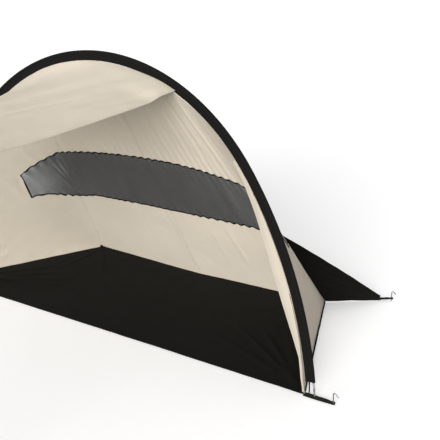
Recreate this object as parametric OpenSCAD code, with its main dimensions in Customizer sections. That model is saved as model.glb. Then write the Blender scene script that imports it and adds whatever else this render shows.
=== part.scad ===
// Tarp shelter with one arch pole, a sewn-in floor, a wrap-round window and a propped awning.
// Origin: on the ground, midway between the feet of the arch. +X right when looking in through
// the opening, +Y to the rear, +Z up. Millimetres.

/* [Arch] */
// Height of the arch's outer edge above the ground
arch_h = 1294; // [1280:2:1310]
// Half width of the arch at the ground
arch_half = 1163; // [1150:1:1180]
// Radius of the arch's crown
crown_r = 1009; // [1000:1:1020]
// Half angle of the crown's arc, in degrees
crown_angle = 53.5; // [52:0.5:55]
// Angle by which the arch leans back, in degrees
arch_lean = 3.5; // [2:0.5:5]
// Width of the pole sleeve, from its outer edge to its seam
sleeve_w = 44; // [38:1:50]
// Height above the ground at which the sleeve stops
sleeve_stop = 66; // [60:1:80]
// Diameter of the arch pole
pole_d = 8.5; // [7:0.5:9]
// Bore through the arch pole, for the shock cord
pole_bore = 4.6; // [4:0.1:5]

/* [Floor and walls] */
// Half width of the floor at the front
floor_front_half = 1111; // [1100:1:1115]
// Half width of the floor at the rear
floor_rear_half = 753; // [720:1:780]
// Distance from the front of the floor to its rear corners
floor_depth = 879; // [850:1:900]
// Distance that the middle of the rear edge stands in front of its corners
rear_bow = 34; // [0:1:50]
// Thickness of each fabric sheet
fabric_t = 2; // [1.6:0.1:2.4]
// Angle round the crown at which the hip seams reach the arch, in degrees
hip_angle = 27; // [26:0.5:28]

/* [Window] */
// Lower edge of the window, as a share of the way up the rear wall
window_low = 0.352; // [0.3:0.005:0.4]
// Upper edge of the window, as a share of the way up the rear wall
window_high = 0.6; // [0.55:0.005:0.65]
// Width of the binding round the window
binding_w = 6; // [4:1:10]

/* [Awning] */
// Half width of the awning at its front edge
awning_half = 494; // [440:2:540]
// Distance from the arch's feet forward to the awning's front edge
awning_reach = 1365; // [1250:5:1400]
// Height of the awning's front corners
awning_z = 1105; // [1080:5:1130]
// Sag of the awning halfway along
awning_sag = 22; // [0:1:40]
// Extra sag across the awning's front edge
awning_hollow = 14; // [0:1:30]

/* [Poles, pegs and guy lines] */
// Outer diameter of the lower tube of each awning pole
prop_d = 19; // [18:0.5:22]
// Length of the lower tube
prop_lower_l = 620; // [560:10:640]
// Diameter of the pegs' wire
peg_d = 4.5; // [4:0.1:5]
// Length of a peg's shaft below the ground
peg_depth = 150; // [120:5:180]
// Distance sideways from the middle to the guy pegs
guy_peg_x = 806; // [760:2:860]
// Distance forward from the arch's feet to the guy pegs
guy_peg_y = 2210; // [2150:5:2260]
// Diameter of the guy lines
guy_d = 3; // [2.5:0.1:3.5]

/* [Hidden] */

$fn = 48;
// Steps round a full turn for the arch's long arcs, and for the small sections swept along them
arc_fn = 480;
rod_fn = 32;
left = -1;
right = 1;
cream = "#d8cfbe";
black = "#1c1b1a";
smoke = "#4c4b4a";
steel = "#b4b6b8";

// Seams: sheets stop this far short of each other
seam_gap = 1.2;
wall_foot_z = fabric_t + 1.6;

// Arch outline, drawn flat: x across and s up the leaning plane
apex_s = arch_h / cos(arch_lean);
crown_s = apex_s - crown_r;
crown_out = [sin(crown_angle), cos(crown_angle)];
junction = [0, crown_s] + crown_r * crown_out;
junction_to_foot = [arch_half, 0] - junction;
leg_r = -(junction_to_foot * junction_to_foot) / (2 * (junction_to_foot * crown_out));
leg_c = junction - leg_r * crown_out;
foot_angle = atan2(arch_half - leg_c[0], -leg_c[1]);
sleeve_stop_angle = acos((sleeve_stop - leg_c[1]) / leg_r);

// The pole runs along the outer edge of the sleeve
ferrule_gap = 0.45;
ferrule_r = pole_d / 2 + ferrule_gap + 0.8;
sleeve_bore_r = ferrule_r + 0.5;
sleeve_wall = 1.2;
pole_inset = sleeve_bore_r + sleeve_wall;
section_gap = 0.4;
ferrule_l = 80;
tip_l = 40;
tip_pin_r = 3;
pole_crown_r = crown_r - pole_inset;
pole_leg_r = leg_r - pole_inset;
pole_end_angle = foot_angle - (tip_l / leg_r) * 180 / PI;
cord_r = 1.25;
pole_foot_x = leg_c[0] + pole_leg_r * sin(foot_angle);

// Share of the half arch that lies on the crown, and where the hip seam meets it
crown_part = crown_r * crown_angle / (crown_r * crown_angle + leg_r * (foot_angle - crown_angle));
hip_t = crown_part * hip_angle / crown_angle;
wall_inset = sleeve_w + seam_gap;

// Corners on the ground
rear_corner_x = floor_rear_half - 3;
rear_corner_y = floor_depth - 3;
front_peg_x = floor_front_half + 127;
wing_reach = 344;
wing_short = 48;
wing_angle = 37.6;
wing_top_v = 0.378;
tab_w = 25;
tab_t = 2;
eyelet_bore_r = 3.4;

// Top corner of each awning prop
eyelet_in = 14;
spike_r = 3;
spike_bore_r = 5.6;
prop_x = awning_half - eyelet_in;
prop_y = -(awning_reach - eyelet_in);
prop_top = awning_point(prop_x / awning_half, 1 - eyelet_in / awning_reach)[2];
prop_wall = 1.2;
upper_r = 7.6;
shoulder_drop = 15;
foot_pad = 4;
lock_l = 46;
spike_top = 26;
loop_r = 14;

// Guy lines run from above the eyelet to a peg ahead of each corner
guy_top_z = prop_top + 9;
guy_low_z = 20;
peg_loop_r = 9;
guy_run = norm([guy_peg_x - prop_x, guy_peg_y + prop_y]) - peg_loop_r - loop_r;
guy_turn = atan2(guy_peg_x - prop_x, guy_peg_y + prop_y);
guy_slope = atan2(guy_top_z - guy_low_z, guy_run);
guy_length = norm([guy_run, guy_top_z - guy_low_z]);
tail_low = 12;
tail_length = 420;
tail_gap = 7;

// ---- Points on the fabric -------------------------------------------------------------------

// A point on the arch. t runs from -1 at the left foot to 1 at the right foot, inset is the
// distance in from the outer edge, and back is the distance behind the arch's plane.
function arch_flat(t, inset) =
    abs(t) <= crown_part
    ? crown_flat(sign(t) * crown_angle * abs(t) / crown_part, crown_r - inset)
    : leg_flat(sign(t), (abs(t) - crown_part) / (1 - crown_part), leg_r - inset);
function crown_flat(angle, r) = [r * sin(angle), crown_s + r * cos(angle)];
function leg_flat(side, part, r) =
    let (angle = crown_angle + (foot_angle - crown_angle) * part)
    [side * (leg_c[0] + r * sin(angle)), leg_c[1] + r * cos(angle)];
function lean(p, back) =
    [p[0], p[1] * sin(arch_lean) + back * cos(arch_lean), p[1] * cos(arch_lean) - back * sin(arch_lean)];
function arch_point(t, inset, back) = lean(arch_flat(t, inset), back);

function mix(a, b, k) = a + (b - a) * k;

// Rear wall: ruled from the floor's rear edge to the crown, u across and v up
function rear_foot(u) = [rear_corner_x * u, rear_corner_y - rear_bow * (1 - abs(u)), wall_foot_z];
function rear_point(u, v) = mix(rear_foot(u), arch_point(hip_t * u, wall_inset, 0), v);

// Side wall: a cone from the rear corner to the arch's leg, q down the leg and w out to the leg
function side_inset(q) = wall_inset + (arch_half - wall_inset - floor_front_half + 4) * pow(q, 3);
function leg_point(side, q) =
    let (p = arch_point(side * (hip_t + (1 - hip_t) * q), side_inset(q), 0))
    [p[0], p[1], max(p[2], wall_foot_z)];
function side_point(side, q, w) = mix([side * rear_corner_x, rear_corner_y, wall_foot_z], leg_point(side, q), w);

// Window edges as shares of the walls' height. Past the hip seams the window tapers upwards.
function window_bottom(u) = window_low + 0.028 * pow(abs(u), 2);
function window_top(u) = window_high + 0.02 * pow(abs(u), 2);
function wrap_bottom(q) = window_bottom(1) + 0.2 * q + 0.57 * q * q;
function wrap_top(q) = window_top(1) + 0.25 * q;
function wrap_end(k) = mix(0.445, 0.355, k);

function awning_point(u, k) =
    mix(arch_point(hip_t * u, wall_inset, -3), [awning_half * u, -awning_reach, awning_z], k)
    - [0, 0, awning_sag * 4 * k * (1 - k) + awning_hollow * (1 - u * u) * k];

// ---- Building blocks ------------------------------------------------------------------------

// Unit normal of a grid of points at row r, column c
function grid_normal(g, r, c) =
    let (
        along = g[min(r + 1, len(g) - 1)][c] - g[max(r - 1, 0)][c],
        across = g[r][min(c + 1, len(g[0]) - 1)] - g[r][max(c - 1, 0)],
        n = cross(across, along)
    )
    n / norm(n);

// Closed sheet of thickness fabric_t through a grid of points. keep(r, c) is 1 for each cell
// that has fabric, so a sheet can have an opening or a notch.
module sheet(g, keep = function(r, c) 1) {
    rows = len(g);
    cols = len(g[0]);
    half = rows * cols;
    function has(r, c) = r < 0 || c < 0 || r > rows - 2 || c > cols - 2 ? 0 : keep(r, c);
    function id(r, c) = r * cols + c;
    offsets = [for (r = [0:rows - 1]) for (c = [0:cols - 1]) grid_normal(g, r, c) * fabric_t / 2];
    mids = [for (row = g) for (p = row) p];
    points = concat(mids + offsets, mids - offsets);
    cells = [for (r = [0:rows - 2]) for (c = [0:cols - 2]) if (has(r, c) == 1) [r, c]];
    faces = [for (cell = cells) each let (
        r = cell[0], c = cell[1],
        a = id(r, c), b = id(r, c + 1), d = id(r + 1, c), e = id(r + 1, c + 1)
    ) concat(
        [[a, d, b], [b, d, e], [a + half, b + half, d + half], [b + half, e + half, d + half]],
        has(r - 1, c) == 1 ? [] : edge_faces(a, b, half),
        has(r + 1, c) == 1 ? [] : edge_faces(e, d, half),
        has(r, c - 1) == 1 ? [] : edge_faces(d, a, half),
        has(r, c + 1) == 1 ? [] : edge_faces(b, e, half)
    )];
    polyhedron(points, faces);
}
function edge_faces(a, b, half) = [[a, b, a + half], [b, b + half, a + half]];

// Everything drawn flat in the arch's plane, with z towards the front
module in_arch_plane() {
    rotate([90 - arch_lean, 0, 0]) children();
}

// Sweeps a profile along the crown, between two angles from the top. The profile's x is
// measured outwards from the arch's outer edge.
module crown_sweep(from, to) {
    translate([0, crown_s, 0])
        rotate([0, 0, 90 - to])
            rotate_extrude(angle = to - from, $fn = arc_fn) translate([crown_r, 0]) children();
}

// Sweeps a profile down one leg, between two angles from the vertical
module leg_sweep(side, from, to) {
    mirror([side < 0 ? 1 : 0, 0, 0])
        translate([leg_c[0], leg_c[1], 0])
            rotate([0, 0, 90 - to])
                rotate_extrude(angle = to - from, $fn = arc_fn) translate([leg_r, 0]) children();
}

// Round profile on the pole's line
module rod(r) {
    translate([-pole_inset, 0]) circle(r = r, $fn = rod_fn);
}

// Sweeps a profile along the whole arch, down to one angle on both legs, in three lengths that
// stop just short of each other at the ends of the crown
module arch_sweep(stop) {
    gap = seam_gap / 2 / crown_r * 180 / PI;
    crown_sweep(gap - crown_angle, crown_angle - gap) children();
    for (side = [left, right]) leg_sweep(side, crown_angle, stop) children();
}

// Eyelet with a flange above and below a sheet
module eyelet(bore_r, flange_r, gap) {
    rotate_extrude() translate([bore_r, 0]) {
        translate([0, -gap / 2 - 1]) square([1.2, gap + 2]);
        translate([0, gap / 2]) square([flange_r - bore_r, 1]);
        translate([0, -gap / 2 - 1]) square([flange_r - bore_r, 1]);
    }
}

// Peg bent from wire, upright in the ground. Its hook leads out and down towards turn. The wire
// is drawn down a little in the bend and again in the tail.
module peg(x, y, turn) {
    hook_r = 5;
    hook_z = 43;
    hook_drop = 45;
    tail_l = 19;
    point_l = 12;
    draw = 0.1;
    translate([x, y, 0]) rotate([0, 0, turn]) color(steel) {
        translate([0, 0, -peg_depth]) cylinder(d = peg_d, h = peg_depth + hook_z);
        translate([0, 0, -peg_depth - point_l]) cylinder(d1 = 1, d2 = peg_d, h = point_l);
        translate([hook_r, 0, hook_z]) rotate([90, 0, 0]) rotate([0, 0, 90 - hook_drop]) {
            rotate_extrude(angle = 90 + hook_drop) translate([hook_r, 0]) circle(d = peg_d - draw);
            translate([hook_r, 0, 0]) rotate([90, 0, 0]) cylinder(d = peg_d - 2 * draw, h = tail_l);
        }
    }
}

// Strip of webbing along +X from x = from, with rounded end and a hole for a peg at x = to
module tab(from, to, width) {
    difference() {
        union() {
            translate([from, -width / 2, 0]) cube([to - from, width, tab_t]);
            translate([to, 0, 0]) cylinder(d = width, h = tab_t);
        }
        translate([to, 0, -1]) cylinder(r = peg_d / 2 + 0.9, h = tab_t + 2);
    }
}

// ---- Floor and walls ------------------------------------------------------------------------

function floor_outline() = [
    [-floor_front_half, 0], [floor_front_half, 0], [floor_rear_half, floor_depth],
    [0, floor_depth - rear_bow], [-floor_rear_half, floor_depth]
];
// Outline moved outwards by d, with mitred corners
function grown(pts, d) = [
    for (i = [0:len(pts) - 1]) let (
        a = pts[(i + len(pts) - 1) % len(pts)], b = pts[i], c = pts[(i + 1) % len(pts)],
        n1 = edge_out(a, b), n2 = edge_out(b, c)
    ) b + (n1 + n2) * d / (1 + n1 * n2)
];
function edge_out(a, b) = [b[1] - a[1], a[0] - b[0]] / norm(b - a);

module floor() {
    color(black) linear_extrude(fabric_t) polygon(floor_outline());
}

module floor_binding() {
    gap = 0.8;
    width = 1.6;
    height = 12;
    color(black) translate([0, 0, 0.4]) linear_extrude(height) difference() {
        polygon(grown(floor_outline(), gap + width));
        polygon(grown(floor_outline(), gap));
        translate([-2 * floor_front_half, -20]) square([4 * floor_front_half, 40]);
    }
}

seam_u = seam_gap / floor_rear_half;
seam_v = seam_gap / arch_h;

// One quarter of the rear wall: from the middle seam to a hip seam, and between two edges
module rear_wall(side, low, high) {
    cols = 12;
    rows = 10;
    sheet([for (r = [0:rows]) [for (c = [0:cols]) let (
        u = side * mix(seam_u, 1 - seam_u, side > 0 ? c / cols : 1 - c / cols),
        v = mix(low(u), high(u), r / rows)
    ) rear_point(u, v)]]);
}
module rear_wall_lower(side) {
    color(cream) rear_wall(side, function(u) 0, function(u) window_bottom(u) - seam_v);
}
module rear_wall_upper(side) {
    color(cream) rear_wall(side, function(u) window_top(u) + seam_v, function(u) 1);
}

// Side wall with a notch where the window wraps round from the rear wall
module side_wall(side) {
    notch_cols = 5;
    cols = 20;
    low_rows = 5;
    mid_rows = 5;
    top_rows = 5;
    rows = low_rows + mid_rows + top_rows;
    apex = 0.02;
    function row_w(r, bottom, top) =
        r <= low_rows ? mix(apex, bottom, r / low_rows)
        : r <= low_rows + mid_rows ? mix(bottom, top, (r - low_rows) / mid_rows)
        : mix(top, 1, (r - low_rows - mid_rows) / top_rows);
    function col_q(c, r) =
        let (end = wrap_end(min(max((r - low_rows) / mid_rows, 0), 1)) + seam_v)
        c <= notch_cols ? mix(seam_u, end, c / notch_cols)
        : mix(end, 1, (c - notch_cols) / (cols - notch_cols));
    color(cream) sheet(
        [for (r = [0:rows]) [for (i = [0:cols]) let (
            c = side > 0 ? i : cols - i,
            q = col_q(c, r),
            flat_q = min(q, wrap_end(0)),
            w = row_w(r, wrap_bottom(flat_q) - seam_v, wrap_top(flat_q) + seam_v)
        ) side_point(side, q, w)]],
        function(r, i)
            let (c = side > 0 ? i : cols - 1 - i)
            c < notch_cols && r >= low_rows && r < low_rows + mid_rows ? 0 : 1
    );
}

// Point of the window's sheet, c from 0 at the left end to window_cols at the right end, and k
// up it, pulled in from its edges by a margin in millimetres
wrap_cols = 6;
rear_cols = 20;
window_cols = rear_cols + 2 * wrap_cols;
function window_point(c, k, margin) =
    let (
        m = margin / arch_h,
        end_m = max(m, (binding_w / 2 + seam_gap) / arch_h),
        past = c < wrap_cols ? wrap_cols - c : c > window_cols - wrap_cols ? c - (window_cols - wrap_cols) : 0,
        side = c < window_cols / 2 ? left : right,
        q = past / wrap_cols * (wrap_end(k) - 2 * end_m),
        u = (c - window_cols / 2) / (rear_cols / 2),
        low = (past > 0 ? wrap_bottom(q) : window_bottom(u)) + m,
        high = (past > 0 ? wrap_top(q) : window_top(u)) - m
    )
    past > 0 ? side_point(side, q, mix(low, high, k)) : rear_point(u, mix(low, high, k));

module window() {
    rows = 6;
    color(smoke) sheet(
        [for (r = [0:rows]) [for (c = [0:window_cols]) window_point(c, r / rows, binding_w + seam_gap)]]
    );
}

module window_binding() {
    // The first and last rows are the binding's outer edge, and the middle two its inner edge
    function inset(r) = r == 0 || r == 3 ? seam_gap / 2 : binding_w;
    color(black) sheet(
        [for (r = [0:3]) [for (c = [0:window_cols + 2])
            window_point(min(max(c - 1, 0), window_cols), r < 2 ? 0 : 1, inset(r))
            + end_step(c, r < 2 ? 0 : 1)
        ]],
        function(r, c) r == 1 && c > 0 && c < window_cols + 1 ? 0 : 1
    );
}
// Step out to the binding's end strips
function end_step(c, k) =
    c == 0 ? end_dir(0, 1, k) : c == window_cols + 2 ? end_dir(window_cols, window_cols - 1, k) : [0, 0, 0];
function end_dir(c_end, c_next, k) =
    let (d = window_point(c_end, k, 0) - window_point(c_next, k, 0))
    d / norm(d) * binding_w / 2;

// ---- Arch pole and sleeve -------------------------------------------------------------------

// Sleeve cut in three lengths, one for the crown and one for each leg
module pole_sleeve() {
    tail_t = 2.4;
    color(black) in_arch_plane() arch_sweep(sleeve_stop_angle) difference() {
        union() {
            rod(pole_inset);
            polygon([
                [-pole_inset, pole_inset * 0.94], [-sleeve_w, tail_t / 2],
                [-sleeve_w, -tail_t / 2], [-pole_inset, -pole_inset * 0.94]
            ]);
        }
        rod(sleeve_bore_r);
    }
}

// Angles at which the pole's sections meet: four sections on the crown and two on each leg
leg_mid_angle = (crown_angle + pole_end_angle) / 2;
half_gap_crown = section_gap / 2 / pole_crown_r * 180 / PI;
half_gap_leg = section_gap / 2 / pole_leg_r * 180 / PI;

module arch_pole_sections() {
    module profile() {
        difference() {
            rod(pole_d / 2);
            rod(pole_bore / 2);
        }
    }
    color("#b9b9b6") in_arch_plane() {
        for (i = [-2:1])
            crown_sweep(i * crown_angle / 2 + half_gap_crown, (i + 1) * crown_angle / 2 - half_gap_crown)
                profile();
        for (side = [left, right]) {
            leg_sweep(side, crown_angle + half_gap_leg, leg_mid_angle - half_gap_leg) profile();
            leg_sweep(side, leg_mid_angle + half_gap_leg, pole_end_angle) profile();
        }
    }
}

// Ferrules over the gaps. Their bores are loose enough for the pole's change of curve at the
// ends of the crown.
module arch_pole_ferrules() {
    crown_half = ferrule_l / 2 / pole_crown_r * 180 / PI;
    leg_half = ferrule_l / 2 / pole_leg_r * 180 / PI;
    module profile() {
        difference() {
            rod(ferrule_r);
            rod(pole_d / 2 + ferrule_gap);
        }
    }
    color(steel) in_arch_plane() {
        for (middle = [-crown_angle / 2, 0, crown_angle / 2])
            crown_sweep(middle - crown_half, middle + crown_half) profile();
        for (side = [left, right])
            for (middle = [crown_angle, leg_mid_angle])
                leg_sweep(side, middle - leg_half, middle + leg_half) profile();
    }
}

// Elastic cord through the pole's bore, in three lengths that follow its three arcs
module arch_shock_cord() {
    color("#e8e4da") in_arch_plane() arch_sweep(pole_end_angle) rod(cord_r);
}

// Metal tip at each end: a plug in the tube, a collar and a pin that stands in the eyelet
module arch_pole_tips() {
    plug_l = 22;
    collar_l = 10;
    cord_hole_l = 20;
    color(steel) in_arch_plane() for (side = [left, right])
        mirror([side < 0 ? 1 : 0, 0, 0])
            translate([leg_c[0], leg_c[1], 0])
                rotate([0, 0, 90 - pole_end_angle]) translate([pole_leg_r, 0, 0])
                    rotate([90, 0, 0]) difference() {
                        union() {
                            translate([0, 0, 0.3]) cylinder(d = pole_d, h = collar_l);
                            cylinder(r = tip_pin_r, h = tip_l - 0.6);
                            translate([0, 0, -plug_l]) cylinder(d = pole_bore - 0.4, h = plug_l + 1);
                        }
                        translate([0, 0, -plug_l - 1]) cylinder(r = cord_r + 0.35, h = cord_hole_l + 3);
                    }
}

// ---- Awning, hems and wings -----------------------------------------------------------------

module awning() {
    cols = 16;
    rows = 14;
    edge = 0.985;
    color(cream) difference() {
        sheet([for (r = [0:rows]) [for (c = [0:cols])
            awning_point(edge * (2 * c / cols - 1), 1 - r / rows)
        ]]);
        for (side = [left, right])
            translate([side * prop_x, prop_y, prop_top - 10]) cylinder(r = spike_bore_r + 1.8, h = 20);
    }
}

// Loose hem ahead of the arch, widest two thirds of the way down the leg
module front_hem(side) {
    rows = 20;
    cols = 3;
    end_in = 2;
    end_forward = 6;
    bulge_in = 15;
    bulge_forward = 34;
    bulge_from = 0.28;
    bulge_to = 0.88;
    bulge_skew = 1.3;
    color(cream) sheet([for (r = [0:rows]) [for (i = [0:cols]) let (
        k = (side > 0 ? i : cols - i) / cols,
        q = mix(bulge_from, 0.94, r / rows),
        part = min((q - bulge_from) / (bulge_to - bulge_from), 1),
        bulge = sin(180 * pow(part, bulge_skew)),
        root = arch_point(side * (hip_t + (1 - hip_t) * q), side_inset(q), -3)
    ) root + [-side * (end_in + bulge_in * bulge), -(end_forward + bulge_forward * bulge), 0] * k]]);
}

// Black storm wing between the hip seam, the rear corner and its own peg
wing_dir = [cos(wing_angle), sin(wing_angle), 0];
function mirrored(p, side) = [side * p[0], p[1], p[2]];
module wing(side) {
    rows = 12;
    cols = 12;
    stand_off = 5;
    top = rear_point(1, wing_top_v) + stand_off * wing_dir;
    foot = [floor_rear_half, floor_depth, 10] + stand_off * wing_dir;
    tip = [floor_rear_half, floor_depth, 12] + (wing_reach - wing_short) * wing_dir;
    color(black) sheet([for (r = [0:rows]) [for (i = [0:cols]) let (
        k = 0.95 * (side > 0 ? i : cols - i) / cols,
        p = mix(mix(foot, top, r / rows), tip + [0, 0, 6 * r / rows], k)
    ) mirrored(p, side)]]);
}

// ---- Webbing, eyelets and straps ------------------------------------------------------------

module corner_tab(side) {
    color(black) mirror([side < 0 ? 1 : 0, 0, 0]) difference() {
        translate([0, 0, 0.6]) tab(floor_front_half + 5, front_peg_x, tab_w);
        translate([pole_foot_x, 0, 0]) cylinder(r = eyelet_bore_r + 1.8, h = 10);
    }
}

module corner_eyelets() {
    color(steel) for (side = [left, right])
        translate([side * pole_foot_x, 0, 0.6 + tab_t / 2]) eyelet(eyelet_bore_r, 9, tab_t + 0.2);
}

// Thin strap from the end of the sleeve down to the corner's webbing
module corner_strap(side) {
    strap_w = 10;
    strap_t = 1.6;
    strap_x = floor_front_half + 18;
    color(black) translate([side * strap_x - strap_t / 2, -strap_w / 2, tab_t + 1.4])
        cube([strap_t, strap_w, sleeve_stop - 14]);
}

module wing_tab(side) {
    color(black) mirror([side < 0 ? 1 : 0, 0, 0])
        translate([floor_rear_half, floor_depth, 10]) rotate([0, 0, wing_angle])
            tab(wing_reach - wing_short - 8, wing_reach, 18);
}

rear_peg_y = floor_depth - rear_bow + 52;
module rear_tab() {
    color(black) translate([0, floor_depth - rear_bow, 0.6]) rotate([0, 0, 90]) tab(5, 52, tab_w);
}

module awning_eyelets() {
    color(steel) for (side = [left, right])
        translate([side * prop_x, prop_y, prop_top]) eyelet(spike_bore_r, 12, fabric_t + 1.6);
}

// ---- Guy lines ------------------------------------------------------------------------------

// Places children at the guy line's lower end, with +Z up along the line and +Y across it
module along_guy(side) {
    mirror([side < 0 ? 1 : 0, 0, 0])
        translate([guy_peg_x, -guy_peg_y, guy_low_z])
            rotate([0, 0, 90 + guy_turn]) translate([peg_loop_r, 0, 0])
                rotate([0, 90 - guy_slope, 0]) children();
}

module guy_line(side) {
    knot_r = 4;
    color("#c9622b") {
        along_guy(side) {
            cylinder(d = guy_d, h = guy_length);
            translate([0, tail_gap, tail_low]) cylinder(d = guy_d, h = tail_length);
            translate([0, tail_gap, tail_low + tail_length]) sphere(r = knot_r);
            translate([0, tail_gap / 2, tail_low]) rotate([-90, 0, 90])
                rotate_extrude(angle = 180) translate([tail_gap / 2, 0]) circle(d = guy_d);
        }
        mirror([side < 0 ? 1 : 0, 0, 0]) {
            translate([guy_peg_x, -guy_peg_y, guy_low_z])
                rotate_extrude() translate([peg_loop_r, 0]) circle(d = guy_d);
            translate([prop_x, prop_y, guy_top_z])
                rotate_extrude() translate([loop_r, 0]) circle(d = guy_d);
        }
    }
}

// Flat runner with a hole for the line and one for its tail
module guy_runner(side) {
    color("#2a2a2a") along_guy(side) translate([0, 0, tail_length - 40]) difference() {
        translate([-5, -6, 0]) cube([10, tail_gap + 12, 16]);
        for (y = [0, tail_gap]) translate([0, y, -1]) cylinder(r = guy_d / 2 + 0.4, h = 18);
    }
}

// ---- Awning props ---------------------------------------------------------------------------

module at_prop(side) {
    translate([side * prop_x, prop_y, 0]) children();
}
prop_upper_low = 340;
module prop_upper(side) {
    upper_l = prop_top - shoulder_drop - prop_upper_low;
    color(steel) at_prop(side) translate([0, 0, prop_upper_low]) difference() {
        cylinder(r = upper_r, h = upper_l);
        translate([0, 0, -1]) cylinder(r = upper_r - prop_wall, h = upper_l + 2);
    }
}

module prop_spike(side) {
    plug_l = 30;
    color(black) at_prop(side) translate([0, 0, prop_top - shoulder_drop]) {
        translate([0, 0, -plug_l]) cylinder(r = upper_r - prop_wall - 0.1, h = plug_l + 0.3);
        translate([0, 0, 0.2]) cylinder(r = upper_r, h = 3);
        cylinder(r = spike_r, h = shoulder_drop + spike_top);
    }
}

module prop_lower(side) {
    color(steel) at_prop(side) translate([0, 0, foot_pad]) difference() {
        cylinder(d = prop_d, h = prop_lower_l);
        translate([0, 0, -1]) cylinder(r = prop_d / 2 - prop_wall, h = prop_lower_l + 2);
    }
}

// Twist lock round the top of the lower tube, with grip ribs
module prop_lock(side) {
    ribs = 10;
    wall = 3;
    bore = prop_d / 2 + 0.1;
    color(black) at_prop(side) translate([0, 0, foot_pad + prop_lower_l - lock_l + 8]) {
        difference() {
            union() {
                cylinder(r = bore + wall, h = lock_l);
                for (i = [0:ribs - 1]) rotate([0, 0, i * 360 / ribs])
                    translate([bore + wall, 0, 4]) cylinder(r = 1.6, h = lock_l - 8);
            }
            translate([0, 0, -1]) cylinder(r = bore, h = lock_l - 7 + 1.2);
            cylinder(r = upper_r + 0.3, h = lock_l + 1);
        }
    }
}

module prop_foot(side) {
    color(black) at_prop(side) difference() {
        union() {
            cylinder(r1 = prop_d / 2 + 4, r2 = prop_d / 2 + 2.5, h = 6);
            translate([0, 0, 6]) cylinder(r = prop_d / 2 + 2.5, h = 22);
        }
        translate([0, 0, foot_pad - 0.2]) cylinder(r = prop_d / 2 + 0.1, h = 30);
    }
}

// ---- Pegs -----------------------------------------------------------------------------------

module peg_front(side) peg(side * front_peg_x, 0, side > 0 ? 0 : 180);
module peg_wing(side)
    peg(
        side * (floor_rear_half + wing_reach * cos(wing_angle)), floor_depth + wing_reach * sin(wing_angle),
        side > 0 ? wing_angle : 180 - wing_angle
    );
module peg_rear() peg(0, rear_peg_y, 90);
module peg_guy(side) peg(side * guy_peg_x, -guy_peg_y, side > 0 ? -90 + guy_turn : -90 - guy_turn);

// ---- One line for each node -----------------------------------------------------------------

floor();
floor_binding();
rear_wall_lower(left);  // rear_wall_lower_left
rear_wall_lower(right);  // rear_wall_lower_right
rear_wall_upper(left);  // rear_wall_upper_left
rear_wall_upper(right);  // rear_wall_upper_right
side_wall(left);  // side_wall_left
side_wall(right);  // side_wall_right
window();
window_binding();
pole_sleeve();
arch_pole_sections();
arch_pole_ferrules();
arch_shock_cord();
arch_pole_tips();
awning();
front_hem(left);  // front_hem_left
front_hem(right);  // front_hem_right
wing(left);  // wing_left
wing(right);  // wing_right
corner_tab(left);  // corner_tab_left
corner_tab(right);  // corner_tab_right
corner_eyelets();
corner_strap(left);  // corner_strap_left
corner_strap(right);  // corner_strap_right
wing_tab(left);  // wing_tab_left
wing_tab(right);  // wing_tab_right
rear_tab();
awning_eyelets();
guy_line(left);  // guy_line_left
guy_line(right);  // guy_line_right
guy_runner(left);  // guy_runner_left
guy_runner(right);  // guy_runner_right
prop_upper(left);  // prop_upper_left
prop_upper(right);  // prop_upper_right
prop_spike(left);  // prop_spike_left
prop_spike(right);  // prop_spike_right
prop_lower(left);  // prop_lower_left
prop_lower(right);  // prop_lower_right
prop_lock(left);  // prop_lock_left
prop_lock(right);  // prop_lock_right
prop_foot(left);  // prop_foot_left
prop_foot(right);  // prop_foot_right
peg_front(left);  // peg_front_left
peg_front(right);  // peg_front_right
peg_wing(left);  // peg_wing_left
peg_wing(right);  // peg_wing_right
peg_rear();
peg_guy(left);  // peg_guy_left
peg_guy(right);  // peg_guy_right
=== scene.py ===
"""Looks for the tarp shelter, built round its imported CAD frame.

Metres, in the frame's own axes: +X right when looking in, +Y to the rear, +Z up, with the origin
on the ground midway between the feet of the arch.
"""

import math

import bpy
import numpy as np
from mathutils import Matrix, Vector


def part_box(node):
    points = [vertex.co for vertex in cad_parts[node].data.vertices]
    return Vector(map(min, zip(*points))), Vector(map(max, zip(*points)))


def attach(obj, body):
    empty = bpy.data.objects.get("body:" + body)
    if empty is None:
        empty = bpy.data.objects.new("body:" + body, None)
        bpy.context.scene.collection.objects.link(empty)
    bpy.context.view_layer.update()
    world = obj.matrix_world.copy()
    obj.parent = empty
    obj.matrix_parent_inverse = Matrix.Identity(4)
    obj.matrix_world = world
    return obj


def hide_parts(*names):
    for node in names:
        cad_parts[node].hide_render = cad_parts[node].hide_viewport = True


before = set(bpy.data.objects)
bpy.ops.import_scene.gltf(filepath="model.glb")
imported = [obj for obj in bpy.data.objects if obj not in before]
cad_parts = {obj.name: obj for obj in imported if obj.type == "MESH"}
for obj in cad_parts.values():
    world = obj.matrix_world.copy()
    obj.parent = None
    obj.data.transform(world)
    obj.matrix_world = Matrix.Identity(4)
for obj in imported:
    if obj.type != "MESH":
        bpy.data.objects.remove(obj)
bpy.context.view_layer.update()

LEFT, RIGHT = -1, 1
SIDES = {"left": LEFT, "right": RIGHT}

# ---- Driving dimensions, the same as the frame's ----

LEAN = math.radians(3.5)
ARCH_HEIGHT = 1.294
ARCH_HALF = 1.163
CROWN_RADIUS = 1.009
CROWN_ANGLE = math.radians(53.5)
HIP_ANGLE = math.radians(27)
SLEEVE_WIDTH = 0.044
SLEEVE_STOP = 0.066
TUBE_RADIUS = 0.0072
SEAM_GAP = 0.0012

FLOOR_FRONT_HALF = 1.111
FLOOR_REAR_HALF = 0.753
FLOOR_DEPTH = 0.879
REAR_BOW = 0.034
CORNER_IN = 0.003
WALL_FOOT_Z = 0.0036
FOOT_OVERLAP = 0.004
CLOTH_BACK = -0.003

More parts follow.
